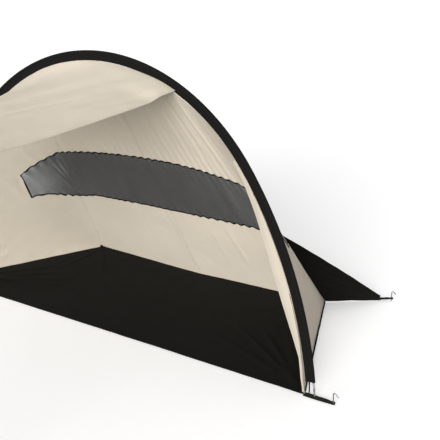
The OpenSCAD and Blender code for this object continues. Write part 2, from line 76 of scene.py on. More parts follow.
AWNING_HALF = 0.494
AWNING_REACH = 1.365
AWNING_Z = 1.105
AWNING_SAG = 0.022
AWNING_HOLLOW = 0.014
AWNING_SLACK = 0.085
AWNING_LIFT = 0.013

WING_ANGLE = math.radians(37.6)
WING_TOP = 0.378
WING_LENGTH = 0.296
WING_STAND_OFF = 0.005

# ---- Cloth sizes ----

CLOTH = 0.0012
WEBBING = 0.0020
TAB_WIDTH = 0.025
TAB_Z = 0.0016
WING_TAB_WIDTH = 0.018
WING_TAB_Z = 0.0105
HEM_WIDTH = 0.013
FOOT_HEM = 0.010
HEM_LIFT = 0.0014
SEAM_WIDTH = 0.009
SEAM_LIFT = 0.0026
BINDING_WIDTH = 0.0085
STITCH_LENGTH = 0.0035
STITCH_GAP = 0.0015
CELL = 0.011
FINE_CELL = 0.0065
# Roughly how much cloth there is above or below the window, along a side wall past it, and up a wall
WALL_BAND = 0.5
SIDE_BAND = 0.75
WALL_RUN = 1.25


# ---- Small maths ----


def vec(x, y, z):
    """Points from three coordinates, which may be arrays."""
    return np.stack(np.broadcast_arrays(np.float64(x), np.float64(y), np.float64(z)), -1)


def unit(v):
    """Vectors scaled to length 1."""
    return v / np.maximum(np.linalg.norm(v, axis=-1, keepdims=True), 1e-9)


def between(p, q, k):
    """The point k of the way from p to q."""
    return p + (q - p) * np.asarray(k, float)[..., None]


def mix(a, b, k):
    """The number k of the way from a to b."""
    return a + (b - a) * k


def hump(k, power=1.0):
    """0 at both ends of k's 0 to 1, and 1 in the middle."""
    return np.sin(np.pi * np.clip(k, 0, 1)) ** power


def spans(length, step=CELL):
    """How many cells of about one step fit along a length."""
    return max(2, int(round(length / step)))


def ease(k):
    """0 up to k = 0, 1 from k = 1, and a smooth step between."""
    k = np.clip(k, 0, 1)
    return k * k * (3 - 2 * k)


def ripple(p, size, seed, count=9):
    """Smooth random waves about size metres long, mostly between -1 and 1."""
    rng = np.random.default_rng(seed)
    total = 0
    for _ in range(count):
        direction = unit(rng.normal(size=3)) * rng.uniform(0.6, 1.5) * 2 * np.pi / size
        total = total + np.sin(p @ direction + rng.uniform(0, 2 * np.pi))
    return total / count * 2


def crease(p, start, end, width, height):
    """A fold from start to end: a ridge with a shallow hollow on each side, fading at its ends."""
    line = end - start
    share = np.clip(((p - start) @ line) / (line @ line), 0, 1)
    away = np.linalg.norm(p - between(start, end, share), axis=-1) / width
    return height * hump(share, 0.6) * (1 - 1.2 * away**2) * np.exp(-(away**2))


# ---- The frame's surfaces ----

APEX = ARCH_HEIGHT / math.cos(LEAN)
CROWN_CENTRE = APEX - CROWN_RADIUS
JUNCTION = np.array([0, CROWN_CENTRE]) + CROWN_RADIUS * np.array(
    [math.sin(CROWN_ANGLE), math.cos(CROWN_ANGLE)]
)


def leg_circle():
    """Radius and centre of the legs' arc, which leaves the crown smoothly and ends at a foot."""
    out = np.array([math.sin(CROWN_ANGLE), math.cos(CROWN_ANGLE)])
    to_foot = np.array([ARCH_HALF, 0]) - JUNCTION
    radius = -(to_foot @ to_foot) / (2 * (to_foot @ out))
    return radius, JUNCTION - radius * out


LEG_RADIUS, LEG_CENTRE = leg_circle()
FOOT_ANGLE = math.atan2(ARCH_HALF - LEG_CENTRE[0], -LEG_CENTRE[1])
CROWN_LENGTH = CROWN_RADIUS * CROWN_ANGLE
CROWN_SHARE = CROWN_LENGTH / (CROWN_LENGTH + LEG_RADIUS * (FOOT_ANGLE - CROWN_ANGLE))
HIP_T = CROWN_SHARE * HIP_ANGLE / CROWN_ANGLE
WALL_INSET = SLEEVE_WIDTH + SEAM_GAP


def leg_t(angle):
    """The arch's t at an angle from the vertical, on a leg."""
    return CROWN_SHARE + (1 - CROWN_SHARE) * (angle - CROWN_ANGLE) / (FOOT_ANGLE - CROWN_ANGLE)


SLEEVE_END_T = leg_t(math.acos((SLEEVE_STOP - LEG_CENTRE[1]) / LEG_RADIUS))


def arch(t, inset=0.0, back=0.0):
    """A point on the arch: t from -1 at the left foot to 1 at the right, inset from its outer edge."""
    t, inset, back = (np.asarray(x, float) for x in (t, inset, back))
    size = np.abs(t)
    on_crown = size <= CROWN_SHARE
    crown = CROWN_ANGLE * size / CROWN_SHARE
    leg = CROWN_ANGLE + (FOOT_ANGLE - CROWN_ANGLE) * (size - CROWN_SHARE) / (1 - CROWN_SHARE)
    x = np.where(
        on_crown,
        (CROWN_RADIUS - inset) * np.sin(crown),
        LEG_CENTRE[0] + (LEG_RADIUS - inset) * np.sin(leg),
    )
    s = np.where(
        on_crown,
        CROWN_CENTRE + (CROWN_RADIUS - inset) * np.cos(crown),
        LEG_CENTRE[1] + (LEG_RADIUS - inset) * np.cos(leg),
    )
    return vec(
        np.sign(t) * x,
        s * math.sin(LEAN) + back * math.cos(LEAN),
        s * math.cos(LEAN) - back * math.sin(LEAN),
    )


def side_inset(q):
    """How far the walls' edge stands in from the arch, down a leg from the hip seam to the foot."""
    foot_inset = ARCH_HALF - FLOOR_FRONT_HALF + FOOT_OVERLAP
    return mix(WALL_INSET, foot_inset, q**3)


def wall_shares(a):
    """How far a place along the walls is from the middle to a hip seam, and from there to a foot."""
    size = np.abs(a)
    return np.clip(size, 0, 1), np.clip(size - 1, 0, 1)


def skin(a, w):
    """A point on the walls. a runs from -2 at the left foot to 2 at the right foot, with the hip
    seams at -1 and 1, and w runs from 0 at the floor to 1 at the arch."""
    a, w = np.asarray(a, float), np.asarray(w, float)
    size, q = wall_shares(a)
    u = np.sign(a) * size
    foot = vec(
        (FLOOR_REAR_HALF - CORNER_IN) * u,
        FLOOR_DEPTH - CORNER_IN - REAR_BOW * (1 - size),
        WALL_FOOT_Z,
    )
    head = arch(np.sign(a) * (HIP_T * size + (1 - HIP_T) * q), side_inset(q))
    head[..., 2] = np.maximum(head[..., 2], WALL_FOOT_Z)
    return between(foot, head, w)


def awning_point(u, k):
    """A point on the awning: u across from -1 to 1, and k forward from the arch. It hangs slack
    just ahead of the crown's left half, and its right edge steps down near the arch."""
    u, k = np.asarray(u, float), np.asarray(k, float)
    back_edge = arch(HIP_T * u, WALL_INSET, CLOTH_BACK)
    front_edge = vec(AWNING_HALF * u, -AWNING_REACH, AWNING_Z)
    sag = AWNING_SAG * 4 * k * (1 - k) + AWNING_HOLLOW * (1 - u * u) * k
    slack = AWNING_SLACK * ease((0.9 - u) / 1.9) * (1 - np.exp(-k / 0.10)) * (1 - ease(k / 1.2))
    slack = slack * ease((1 - k) / 0.25)
    lift = AWNING_LIFT * ease((u - 0.5) / 0.5) * (1 - ease((k - 0.06) / 0.07))
    return between(back_edge, front_edge, k) - vec(0, 0, sag + slack - lift)


def floor_point(u, k):
    """A point on the floor: u across from -1 to 1, and k back from the front edge."""
    half = mix(FLOOR_FRONT_HALF, FLOOR_REAR_HALF, k)
    return vec(half * u, (FLOOR_DEPTH - REAR_BOW * (1 - np.abs(u))) * k, 0.001)


# The window's edges, as shares of the walls' height. Each starts midway along the rear wall, rises
# a little to the hip seams, and then climbs towards the arch
WINDOW_LOW = 0.352
LOW_RISE = 0.028
LOW_CLIMB = 0.20
LOW_STEEPENING = 0.57
WINDOW_HIGH = 0.600
HIGH_RISE = 0.020
HIGH_CLIMB = 0.25
HIGH_SETTLING = 0.35
# The window droops at its left hip, and its right end is a little smaller
LEFT_SAG = 0.022
LEFT_DROOP = 0.019
RIGHT_LIFT = 0.022
RIGHT_ROUNDING = 0.035
# How far the window wraps onto each side wall, along its lower and its upper edge
WRAP = {LEFT: (0.445, 0.365), RIGHT: (0.40, 0.355)}
# Scallops run along the window's edges, where its mesh is gathered into the binding
SCALLOP = 0.058
SCALLOP_HIGH = 0.0072
SCALLOP_LOW = 0.0075


def scallop(a, depth, seed):
    """Uneven scallops along the window, as a share of the walls' height."""
    along = np.asarray(a, float) * FLOOR_REAR_HALF
    drift = ripple(vec(along, 0, 0), 5 * SCALLOP, seed)
    wave = np.sqrt(np.sin(np.pi * (along + 0.3 * SCALLOP * drift) / SCALLOP) ** 2 + 0.02)
    return depth * (wave - 0.6) * (1 + 0.35 * drift) / ARCH_HEIGHT


def window_low(a):
    """The window's lower edge. It climbs quickly past the hip seams and sags at the left one."""
    u, q = wall_shares(a)
    edge = WINDOW_LOW + LOW_RISE * u**2 + LOW_CLIMB * q + LOW_STEEPENING * q**2
    edge = edge - LEFT_SAG * hump((-0.8 - a) / 0.58) + RIGHT_LIFT * ease((a - 1.2) / 0.2)
    return edge + scallop(a, SCALLOP_LOW, 5)


def window_high(a):
    """The window's upper edge. It droops to its left end, and its right corner is rounded."""
    u, q = wall_shares(a)
    edge = WINDOW_HIGH + HIGH_RISE * u**2 + HIGH_CLIMB * q
    edge = edge - HIGH_SETTLING * np.maximum(q - 0.15, 0) ** 2
    edge = edge - RIGHT_ROUNDING * np.clip((a - 1.23) / 0.12, 0, 1) ** 2
    return edge - LEFT_DROOP * hump((-1.02 - a) / 0.34) + scallop(a, SCALLOP_HIGH, 6)


# ---- Meshes ----


def grid_normals(p, towards):
    """Unit normals of a grid of points, all on the side of a point they face."""
    n = unit(np.cross(np.gradient(p, axis=1), np.gradient(p, axis=0)))
    facing = np.sign(np.sum(n * (towards - p)))
    return n * (facing if facing else 1)


def lengths(p, axis):
    """Distance along a grid from its first row or column, averaged over the other direction."""
    step = np.linalg.norm(np.diff(p, axis=axis), axis=-1).mean(1 - axis)
    return np.concatenate([[0], np.cumsum(step)])


class Shape:
    """Closed parts gathered into one mesh, each with UVs in metres and a material number."""

    def __init__(self):
        self.points, self.faces, self.uvs, self.numbers = [], [], [], []
        self.count = 0

    def add(self, points, faces, uvs, number=0):
        """Adds one closed part, with its faces turned outwards."""
        tri = np.array([[f[0], f[1], f[2]] for f in faces])
        tri = np.concatenate([tri, np.array([[f[0], f[2], f[3]] for f in faces if len(f) > 3])])
        a, b, c = (points[tri[:, i]] - points.mean(0) for i in range(3))
        turned = np.sum(a * np.cross(b, c)) < 0
        self.faces += [[i + self.count for i in (f[::-1] if turned else f)] for f in faces]
        self.points.append(points)
        self.uvs.append(uvs)
        self.numbers += [number] * len(faces)
        self.count += len(points)

    def sheet(self, p, towards, thickness=CLOTH, keep=None, number=0):
        """A sheet of cloth through a grid of points. keep marks the cells that hold cloth."""
        rows, cols = p.shape[:2]
        keep = np.ones((rows - 1, cols - 1), bool) if keep is None else keep
        n = grid_normals(p, towards)
        half = rows * cols
        points = np.concatenate(
            [(p + n * thickness / 2).reshape(-1, 3), (p - n * thickness / 2).reshape(-1, 3)]
        )
        held = np.pad(keep, 1)
        faces = []
        for r, c in zip(*np.nonzero(keep)):
            a = int(r * cols + c)
            b, d, e = a + 1, a + cols, a + cols + 1
            faces += [[a, b, e, d], [a + half, d + half, e + half, b + half]]
            around = ((r, c + 1, a, b), (r + 2, c + 1, e, d), (r + 1, c, d, a), (r + 1, c + 2, b, e))
            faces += [[i, i + half, j + half, j] for y, x, i, j in around if not held[y, x]]
        u, v = np.meshgrid(lengths(p, 1), lengths(p, 0))
        uv = np.stack([u, v], -1).reshape(-1, 2)
        self.add(points, faces, np.concatenate([uv, uv]), number)

    def sweep(self, rings, uvs, number=0, round_trip=False):
        """A closed tube through rings of points, with flat ends. A round trip joins the last
        ring to the first instead."""
        n, m = rings.shape[:2]
        faces = [
            [i * m + j, i * m + (j + 1) % m, (i + 1) % n * m + (j + 1) % m, (i + 1) % n * m + j]
            for i in range(n if round_trip else n - 1)
            for j in range(m)
        ]
        if not round_trip:
            faces += [list(range(m))[::-1], [(n - 1) * m + j for j in range(m)]]
        self.add(rings.reshape(-1, 3), faces, uvs.reshape(-1, 2), number)

    def strip(self, path, across, width, thickness, number=0, closed=False):
        """A flat strip with softened edges along a path. Its UVs run along it, and across it
        from its middle."""
        path = np.asarray(path, float)
        along = tangents(path, closed)
        across = unit(across - along * np.sum(across * along, -1, keepdims=True))
        up = np.cross(along, across)
        x = np.array([-0.5, -0.47, 0.47, 0.5, 0.5, 0.47, -0.47, -0.5])
        y = np.array([0.22, 0.5, 0.5, 0.22, -0.22, -0.5, -0.5, -0.22])
        width = np.broadcast_to(width, len(path))[:, None]
        rings = (
            path[:, None]
            + across[:, None] * (x * width)[..., None]
            + up[:, None] * (y * thickness)[None, :, None]
        )
        uvs = np.stack([np.broadcast_to(travel(path)[:, None], (len(path), 8)), x * width], -1)
        self.sweep(rings, uvs, number, closed)

    def cord(self, path, radius, sides=10, number=0, closed=False):
        """A round cord along a path."""
        path = np.asarray(path, float)
        along = tangents(path, closed)
        across = np.cross(along, [0.3, 0.2, 0.93])
        across = carried(unit(across), along)
        up = np.cross(along, across)
        turn = np.linspace(0, 2 * np.pi, sides, endpoint=False)
        radius = np.broadcast_to(radius, len(path))[:, None, None]
        rings = path[:, None] + radius * (
            across[:, None] * np.cos(turn)[:, None] + up[:, None] * np.sin(turn)[:, None]
        )
        u, v = np.broadcast_arrays(travel(path)[:, None], turn * float(radius.max()))
        self.sweep(rings, np.stack([u, v], -1), number, closed)

    def make(self, name, materials, slot, *nodes):
        """The object: it rides on the shelter, stands for CAD nodes and takes the materials given. The
        slot argument is not used.
        """
        mesh = bpy.data.meshes.new(name)
        points = np.concatenate(self.points)
        mesh.from_pydata(points.tolist(), [], self.faces)
        uv = np.concatenate(self.uvs)
        corners = np.zeros(len(mesh.loops), int)
        mesh.loops.foreach_get("vertex_index", corners)
        mesh.uv_layers.new(name="UVMap").data.foreach_set("uv", uv[corners].ravel())
        for material in materials:
            mesh.materials.append(material)
        mesh.polygons.foreach_set("material_index", self.numbers)
        mesh.polygons.foreach_set("use_smooth", [True] * len(self.faces))
        mesh.set_sharp_from_angle(angle=math.radians(50))
        thing = bpy.data.objects.new(name, mesh)
        bpy.context.scene.collection.objects.link(thing)
        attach(thing, "shelter")
        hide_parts(*nodes)
        return thing


def tangents(path, closed=False):
    """Unit directions along a path."""
    if closed:
        return unit(np.roll(path, -1, 0) - np.roll(path, 1, 0))
    return unit(np.gradient(path, axis=0))


def travel(path):
    """Distance along a path."""
    return np.concatenate([[0], np.cumsum(np.linalg.norm(np.diff(path, axis=0), axis=-1))])


def carried(across, along):
    """Directions square to a path that turn as little as possible along it."""
    out = [unit(across[0])]
    for direction in along[1:]:
        out.append(unit(out[-1] - direction * (out[-1] @ direction)))
    return np.array(out)


# ---- Materials ----


class Finish:
    """A procedural material under construction."""

    def __init__(self, name):
        self.material = bpy.data.materials.new(name)
        self.material.use_nodes = True
        self.nodes = self.material.node_tree.nodes
        self.links = self.material.node_tree.links
        self.shader = self.nodes["Principled BSDF"]
        self.place = self.node("ShaderNodeTexCoord").outputs

    def node(self, kind, **values):
        """A node. A value is a number, a colour or another node's output."""
        made = self.nodes.new(kind)
        for key, value in values.items():
            if hasattr(made, key):
                setattr(made, key, value)
            else:
                self.feed(made.inputs[key.replace("_", " ")], value)
        return made

    def feed(self, socket, value):
        """Sets a socket to a value or links it to another node's output."""
        if isinstance(value, bpy.types.NodeSocket):
            self.links.new(value, socket)
        else:
            socket.default_value = value

    def calc(self, operation, *values):
        """A maths node's output."""
        made = self.nodes.new("ShaderNodeMath")
        made.operation = operation
        for socket, value in zip(made.inputs, values):
            self.feed(socket, value)
        return made.outputs[0]

    def noise(self, scale, detail=3.0, rough=0.5, where="Object"):
        """Noise with features about 1 / scale metres across."""
        made = self.node("ShaderNodeTexNoise", Scale=scale, Detail=detail, Roughness=rough)
        self.links.new(self.place[where], made.inputs["Vector"])
        return made.outputs["Fac"]

    def spread(self, value, low, high):
        """A value from 0 to 1 spread between two numbers."""
        return self.node("ShaderNodeMapRange", Value=value, To_Min=low, To_Max=high).outputs[0]

    def tint(self, share, first, second):
        """A colour part of the way from the first to the second."""
        made = self.nodes.new("ShaderNodeMix")
        made.data_type = "RGBA"
        self.feed(made.inputs[0], share)
        self.feed(made.inputs[6], first)
        self.feed(made.inputs[7], second)
        return made.outputs[2]

    def relief(self, height, distance, strength=1.0):
        """Bumps up the surface by a height from 0 to 1 times a distance in metres."""
        bump = self.node("ShaderNodeBump", Height=height, Distance=distance, Strength=strength)
        self.links.new(bump.outputs[0], self.shader.inputs["Normal"])

    def set(self, **values):
        """Sets or links the main shader's inputs."""
        for key, value in values.items():
            self.feed(self.shader.inputs[key.replace("_", " ")], value)

    def along(self):
        """The UV's two coordinates, in metres."""
        parts = self.node("ShaderNodeSeparateXYZ")
        self.links.new(self.place["UV"], parts.inputs[0])
        return parts.outputs[0], parts.outputs[1]


def shade(colour, factor):
    """A colour made lighter or darker."""
    return tuple(min(1.0, c * factor) for c in colour[:3]) + (1.0,)


def threads(finish, pitch):
    """Plain weave, from 0 to 1: crossing threads at a pitch in metres."""
    u, v = finish.along()
    turns = 2 * math.pi / pitch
    warp = finish.calc("SINE", finish.calc("MULTIPLY", u, turns))
    weft = finish.calc("SINE", finish.calc("MULTIPLY", v, turns))
    product = finish.calc("MULTIPLY", warp, weft)
    return finish.calc("MULTIPLY_ADD", product, 0.5, 0.5)


def stitch_line(finish, row):
    """1 on the stitches of two rows, each that far from the strip's middle."""
    u, v = finish.along()
    pitch = STITCH_LENGTH + STITCH_GAP
    phase = finish.calc("FRACT", finish.calc("DIVIDE", u, pitch))
    on = finish.calc("LESS_THAN", phase, STITCH_LENGTH / pitch)
    off_row = finish.calc("ABSOLUTE", finish.calc("SUBTRACT", finish.calc("ABSOLUTE", v), row))
    return finish.calc("MULTIPLY", on, finish.calc("LESS_THAN", off_row, 0.0004))


def cloth(name, colour, weave, rough, sheen, shine, through=0.0, stitch_row=None):
    """Coated woven cloth, with an uneven dye, a fine weave, faint crumples and rub marks."""
    f = Finish(name)
    mottle = 0.06
    cloud = f.noise(3.0, 4.0)
    crumple = f.noise(34.0, 5.0, 0.6)
    base = f.tint(cloud, shade(colour, 1 - mottle), shade(colour, 1 + mottle))
    rub = f.spread(f.noise(11.0, 6.0, 0.7), -1.2, 1.0)
    base = f.tint(f.calc("MAXIMUM", rub, 0.0), base, shade(colour, 1 + 2 * mottle))
    height = f.calc("MULTIPLY_ADD", threads(f, weave), 0.12, f.calc("MULTIPLY", crumple, 0.5))
    if stitch_row is not None:
        stitch = stitch_line(f, stitch_row)
        base = f.tint(f.calc("MULTIPLY", stitch, 0.5), base, shade(colour, 0.55))
        height = f.calc("MULTIPLY_ADD", stitch, -0.35, height)
    f.relief(height, 0.0016)
    f.set(Base_Color=base, Roughness=f.spread(cloud, rough - 0.05, rough + 0.07))
    f.set(Sheen_Weight=sheen, Sheen_Roughness=0.5, Specular_IOR_Level=shine)
    if through:
        glow = f.node("ShaderNodeBsdfTranslucent", Color=base)
        blend = f.node("ShaderNodeMixShader", Fac=through)
        f.links.new(f.shader.outputs[0], blend.inputs[1])
        f.links.new(glow.outputs[0], blend.inputs[2])
        f.links.new(blend.outputs[0], f.nodes["Material Output"].inputs["Surface"])
    return f.material


def netting(name, colour, pitch, clear):
    """Fine dark mesh. Light passes straight through its holes, most of all square to it."""
    f = Finish(name)
    net = threads(f, pitch)
    cloud = f.noise(4.0, 3.0)
    f.set(Base_Color=f.tint(cloud, shade(colour, 0.9), shade(colour, 1.12)))
    f.set(Roughness=0.5, Specular_IOR_Level=0.35, Sheen_Weight=0.2)
    slant = f.node("ShaderNodeLayerWeight", Blend=0.5).outputs["Facing"]
    square = f.calc("POWER", f.calc("SUBTRACT", 1.0, slant), 4.0)
    hole = f.calc("MULTIPLY", f.calc("MINIMUM", square, 0.4), f.spread(net, 1.3 * clear, 0.7 * clear))
    f.set(Alpha=f.calc("SUBTRACT", 1.0, hole))
    f.relief(f.calc("MULTIPLY_ADD", net, 0.3, f.noise(40.0, 4.0)), 0.0012)
    return f.material


def ribbed(name, colour, pitch=0.0016, rough=0.75, shine=0.05, sheen=0.05):
    """Webbing: ribs across its length, with worn, fuzzy high spots."""
    f = Finish(name)
    u, v = f.along()
    ribs = f.calc("SINE", f.calc("MULTIPLY", u, 2 * math.pi / pitch))
    fine = f.calc("SINE", f.calc("MULTIPLY", v, 4 * math.pi / pitch))
    wear = f.noise(90.0, 5.0, 0.7)
    f.set(Base_Color=f.tint(wear, shade(colour, 0.8), shade(colour, 1.5)))
    f.set(Roughness=rough, Specular_IOR_Level=shine, Sheen_Weight=sheen)
    f.relief(f.calc("MULTIPLY_ADD", ribs, 0.5, f.calc("MULTIPLY", fine, 0.25)), 0.0003)
    return f.material


def braid(name, colour, fleck, pitch=0.004):
    """Braided cord: two sets of strands wound round it, with a fleck thread."""
    f = Finish(name)
    u, v = f.along()
    turns = 2 * math.pi / pitch
    first = f.calc("SINE", f.calc("MULTIPLY", f.calc("ADD", u, v), turns))
    second = f.calc("SINE", f.calc("MULTIPLY", f.calc("SUBTRACT", u, v), turns))
    weave = f.calc("MAXIMUM", first, second)
    marked = f.calc("GREATER_THAN", f.calc("MULTIPLY", first, second), 0.55)
    f.set(Base_Color=f.tint(marked, shade(colour, 1.0), fleck), Roughness=0.65)
    f.set(Sheen_Weight=0.3, Specular_IOR_Level=0.3)
    f.relief(weave, 0.0004)
    return f.material


def metal(name, colour, rough, grime=0.25):
    """Drawn metal, with fine scratches and duller patches."""
    f = Finish(name)
    patches = f.noise(60.0, 5.0, 0.6)
    scratches = f.noise(900.0, 2.0)
    f.set(Base_Color=f.tint(f.calc("MULTIPLY", patches, grime), colour, shade(colour, 0.45)))
    f.set(Metallic=1.0, Roughness=f.spread(patches, rough - 0.06, rough + 0.14))
    f.relief(scratches, 0.00004)
    return f.material


def solid(name, colour, rough, shine=0.4, grain=0.0):
    """Moulded plastic, rubber or resin-bound fibre, with a fine grain and scuffs."""
    f = Finish(name)
    scuffs = f.noise(120.0, 6.0, 0.7)
    f.set(Base_Color=f.tint(scuffs, shade(colour, 0.88), shade(colour, 1.2)))
    f.set(Roughness=f.spread(scuffs, rough - 0.06, rough + 0.1), Specular_IOR_Level=shine)
    f.relief(f.noise(1400.0, 2.0), 0.00003 + grain)
    return f.material


def make_finishes():
    """Every material, by the name used below."""
    cream = (0.632, 0.566, 0.462)
    black = (0.0084, 0.0079, 0.0066)
    shell = dict(weave=0.0011, rough=0.62, sheen=0.03, shine=0.08, through=0.06)
    ground = dict(weave=0.0015, rough=0.75, sheen=0.01, shine=0.03)
    tape = (0.0052, 0.0050, 0.0047)
    return {
        "canopy": cloth("canopy_cloth", cream, **shell),
        "canopy_seam": cloth("canopy_seam", cream, stitch_row=0.0042, **shell),
        "floor": cloth("floor_cloth", black, **ground),
        "floor_hem": cloth("floor_hem", black, stitch_row=0.0042, **ground),
        "sleeve": cloth("sleeve_cloth", tape, 0.0013, 0.7, 0.03, 0.05),
        "binding": ribbed("binding_tape", (0.0035, 0.0033, 0.0030), 0.0010, sheen=0.0, shine=0.04),
        "mesh": netting("window_mesh", (0.028, 0.0277, 0.0267), 0.0016, 1.45),
        "webbing": ribbed("webbing", (0.0075, 0.0072, 0.0066)),
        "guy": braid("guy_cord", (0.50, 0.17, 0.045), (0.75, 0.72, 0.66, 1)),
        "fibreglass": solid("fibreglass", (0.24, 0.24, 0.235), 0.4, 0.4),
        "ferrule": metal("ferrule_metal", (0.30, 0.30, 0.30, 1), 0.34),
        "wire": metal("peg_wire", (0.27, 0.27, 0.265, 1), 0.42),
        "eyelet": metal("eyelet_metal", (0.62, 0.57, 0.47, 1), 0.3),
        "shock_cord": braid("shock_cord", (0.75, 0.72, 0.66), (0.1, 0.1, 0.1, 1), 0.003),
        "tube": metal("prop_tube", (0.60, 0.60, 0.61, 1), 0.32, 0.35),
        "moulded": solid("moulded_black", (0.014, 0.014, 0.014), 0.45),
        "rubber": solid("foot_rubber", (0.010, 0.010, 0.010), 0.75, 0.25, 0.00005),
    }


finish = make_finishes()

CAD_FINISHES = {
    "arch_pole_sections": "fibreglass",
    "arch_pole_ferrules": "ferrule",
    "arch_pole_tips": "ferrule",
    "arch_shock_cord": "shock_cord",
    "corner_eyelets": "eyelet",
    "awning_eyelets": "eyelet",
    "guy_runner": "moulded",
    "prop_upper": "tube",
    "prop_lower": "tube",
    "prop_spike": "moulded",
    "prop_lock": "moulded",
    "prop_foot": "rubber",
    "peg": "wire",
}


def paint_cad_nodes():
    """Gives the hard parts their finishes, through their objects' material slots."""
    for name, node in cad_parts.items():
        for start, key in CAD_FINISHES.items():
            if name.startswith(start):
                for slot in node.material_slots:
                    slot.link = "OBJECT"
                    slot.material = finish[key]


# ---- Folds ----

# The points that the pieces' normals turn towards
INSIDE = np.array([0.0, 0.25, 0.45])
UNDER_AWNING = np.array([0.0, -0.6, 0.3])
BELOW = np.array([0.0, 0.4, -5.0])


def wall_folds():
    """Folds on the walls, each with its two ends, width and height. They run down the rear wall
    from the sleeve, down from the window, and across each side wall from the sleeve."""
    rng = np.random.default_rng(11)
    folds = []
    for a in np.linspace(-0.86, 0.9, 13):
        a = a + rng.uniform(-0.04, 0.04)
        lean = rng.uniform(0.03, 0.1)
        height = rng.uniform(0.0012, 0.0036)
        end = skin(a + lean, rng.uniform(0.6, 0.72))
        folds.append((skin(a, 1.0), end, rng.uniform(0.02, 0.035), height))
    for a in np.linspace(-0.8, 0.8, 7):
        a = a + rng.uniform(-0.08, 0.08)
        height = rng.uniform(0.0008, 0.0022)
        folds.append((skin(a, 0.36), skin(a + 0.03, rng.uniform(0.02, 0.12)), 0.02, height))
    for side in (LEFT, RIGHT):
        for q in np.linspace(0.12, 0.9, 8):
            start = skin(side * (1 + q + rng.uniform(-0.03, 0.03)), 1.0)
            end = skin(side * (1 + q * rng.uniform(0.78, 0.9)), rng.uniform(0.35, 0.72))
            folds.append((start, end, rng.uniform(0.018, 0.03), rng.uniform(0.0004, 0.0014)))
    return folds


def window_folds():
    """Three sharp folds that fan out from the foot of the left hip seam, then broad soft ones."""
    foot = skin(-0.985, 0.385)
    heads = ((-1.12, 0.59, 0.0020), (-1.075, 0.60, 0.0028), (-1.02, 0.60, 0.0026))
    folds = [(foot, skin(a, w), 0.013, height) for a, w, height in heads]
    rng = np.random.default_rng(3)
    for a in np.linspace(-0.9, 1.2, 9):
        a = a + rng.uniform(-0.06, 0.06)
        low, high = skin(a, window_low(a)), skin(a + 0.05, window_high(a))
        folds.append((low, high, rng.uniform(0.04, 0.07), rng.uniform(-0.003, 0.003)))
    return folds


WALL_FOLDS = wall_folds()
WINDOW_FOLDS = window_folds()


def gathers(p, a, w, wander):
    """Small upright folds along the walls, one to a scallop, that lean to the left as they rise."""
    along = a * FLOOR_REAR_HALF + 0.10 * (w - 0.6)
    return np.sin(2 * np.pi * along / SCALLOP + wander * ripple(p, 0.35, 24))


def wall_dent(p, a, w):
    """How far the walls stand in from their taut shape. The gathers start at the window."""
    above, below = w - window_high(a), window_low(a) - w
    strength = np.where(above > 0, 0.35 + 0.65 * np.exp(-above / 0.16), 0.6 * np.exp(-below / 0.08))
    dent = 0.0026 * ripple(p, 0.42, 21) + 0.0006 * ripple(p, 0.11, 22)
    dent = dent + 0.0012 * strength * gathers(p, a, w, 1.4)
    for fold in WALL_FOLDS:
        dent = dent + crease(p, *fold)
    return dent


def window_dent(p, a, w):
    """The window follows the walls and adds its own folds and puckers."""
    edge = np.exp(-(window_high(a) - w) / 0.025) + 0.6 * np.exp(-(w - window_low(a)) / 0.018)
    dent = 0.0026 * ripple(p, 0.42, 21) + 0.0005 * ripple(p, 0.16, 23)
    dent = dent + 0.0016 * edge * gathers(p, a, w, 0.5)
    for fold in WINDOW_FOLDS:
        dent = dent + crease(p, *fold)
    return dent


def pushed(p, dent, towards):
    """A grid of points moved along its normals."""
    return p + grid_normals(p, towards) * dent[..., None]


def wall_grid(a, w):
    """Part of the walls, between columns a and rows w of any shape that broadcasts."""
    a, w = np.broadcast_arrays(a, w)
    p = skin(a, w)
    return pushed(p, wall_dent(p, a, w), INSIDE)


# ---- Cloth pieces ----


def rear_wall(name, side, low, high):
    """One quarter of the rear wall, from one edge up to another. A lower one has a hem at its foot."""
    inner = SEAM_GAP / FLOOR_REAR_HALF
    u = np.linspace(inner, 1 - inner, spans(FLOOR_REAR_HALF, FINE_CELL))
    u = u if side > 0 else -u[::-1]
    p = wall_grid(u[None], mix(low(u), high(u), np.linspace(0, 1, spans(WALL_BAND))[:, None]))
    shape = Shape()
    shape.sheet(p, INSIDE)
    if low(u).max() == 0:
        shape.strip(p[0] + vec(0, 0, FOOT_HEM / 2), p[1] - p[0], FOOT_HEM, CLOTH + HEM_LIFT, 1)
    shape.make(name, [finish["canopy"], finish["canopy_seam"]], "canopy_fabric", name)


def side_wall(name, side):
    """A side wall, with a notch where the window wraps round from the rear wall."""
    low_rows, mid_rows, high_rows = 34, 14, 30
    notch_cols = 60
    cols = notch_cols + spans(SIDE_BAND)
    foot = 0.02
    margin = SEAM_GAP / ARCH_HEIGHT
    rows = low_rows + mid_rows + high_rows
    r = np.arange(rows + 1)[:, None].astype(float)
    c = np.arange(cols + 1)[None].astype(float)
    k = np.clip((r - low_rows) / mid_rows, 0, 1)
    end = mix(*WRAP[side], k) + margin
    q = np.where(c <= notch_cols, mix(margin, end, c / notch_cols),
                 mix(end, 1, (c - notch_cols) / (cols - notch_cols)))
    flat = side * (1 + np.minimum(q, WRAP[side][0]))
    low, high = window_low(flat) - margin, window_high(flat) + margin
    w = np.where(
        r <= low_rows, mix(foot, low, r / low_rows),
        np.where(r <= low_rows + mid_rows, mix(low, high, k),
                 mix(high, 1, (r - low_rows - mid_rows) / high_rows)),
    )
    keep = np.ones((rows, cols), bool)
    keep[low_rows:low_rows + mid_rows, :notch_cols] = False
    p = wall_grid(side * (1 + q), w)
    shape = Shape()
    shape.sheet(p, INSIDE, keep=keep)
    shape.make(name, [finish["canopy"]], "canopy_fabric", name)


